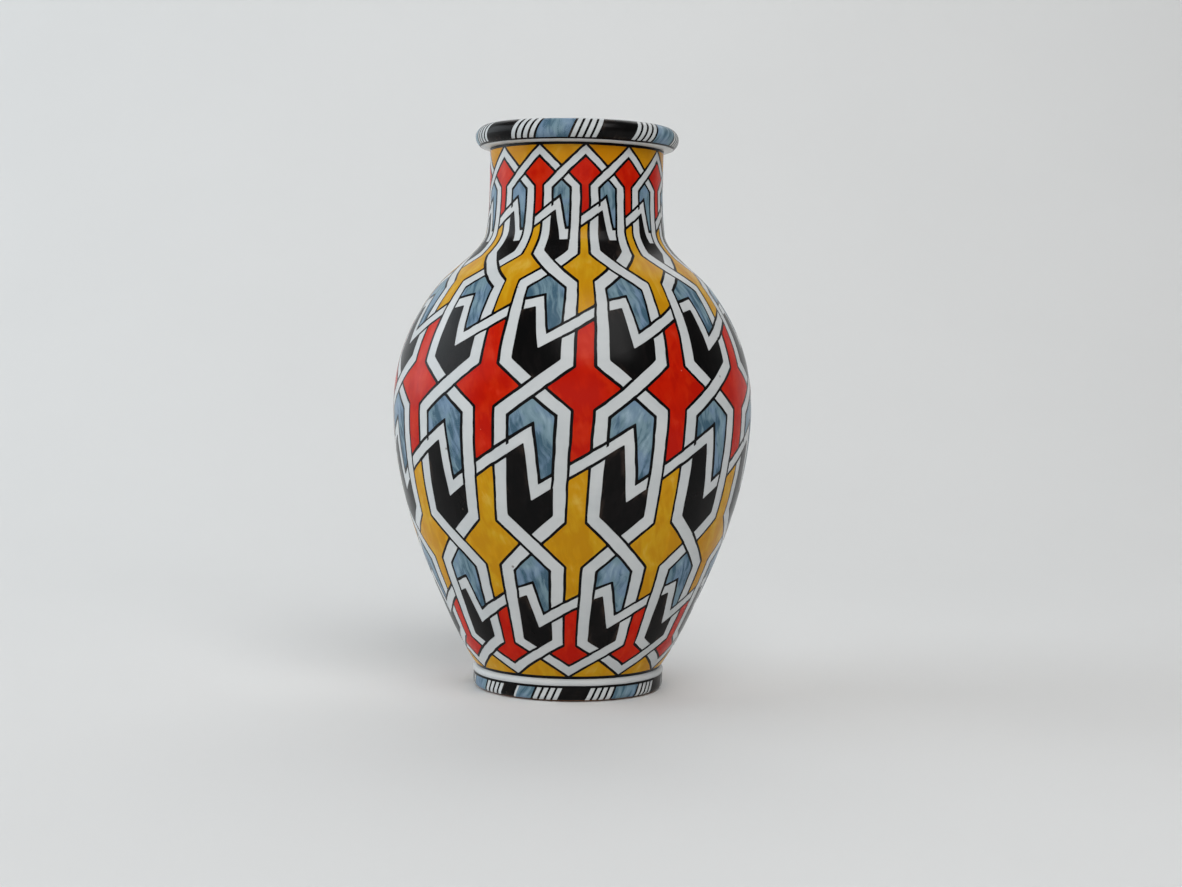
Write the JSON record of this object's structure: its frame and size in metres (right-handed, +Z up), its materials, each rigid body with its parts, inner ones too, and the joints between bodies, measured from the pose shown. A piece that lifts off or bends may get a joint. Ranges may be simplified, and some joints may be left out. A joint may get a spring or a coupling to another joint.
{
  "type": "talavera pottery vase",
  "caption": "Round-bodied glazed earthenware vase with a straight neck, a rolled rim and a foot ring, painted with interlaced white straps over coloured fields.",
  "frame": {"origin": "middle of the foot's underside, on the surface that the vase stands on", "axes": "+Z up along the axis of the vase, -Y towards the pictured side, +X to the right in the picture"},
  "size_m": [0.2244, 0.2244, 0.35],
  "materials": {
    "clay": "bare fired earthenware",
    "slip": "fired slip",
    "white_glaze": "glossy tin glaze",
    "red_pigment": "glossy fired pigment",
    "yellow_pigment": "glossy fired pigment",
    "blue_pigment": "glossy fired pigment with brush marks",
    "black_pigment": "glossy fired pigment"
  },
  "bodies": {
    "root": {"foot_ring": "clay", "lower_body": "clay", "upper_body": "clay", "neck": "clay", "rim_roll": "clay", "foot_slip": "slip", "belly_slip": "slip", "neck_slip": "slip", "rim_slip": "slip", "liner_glaze": "white_glaze", "outer_glaze": "white_glaze", "strap_outlines": "black_pigment", "crossing_lines": "black_pigment", "red_fields": "red_pigment", "yellow_fields": "yellow_pigment", "blue_fields": "blue_pigment", "black_fields": "black_pigment", "ring_lines": "black_pigment", "rim_black_blocks": "black_pigment", "rim_blue_blocks": "blue_pigment", "foot_black_blocks": "black_pigment", "foot_blue_blocks": "blue_pigment"}
  },
  "joints": []
}
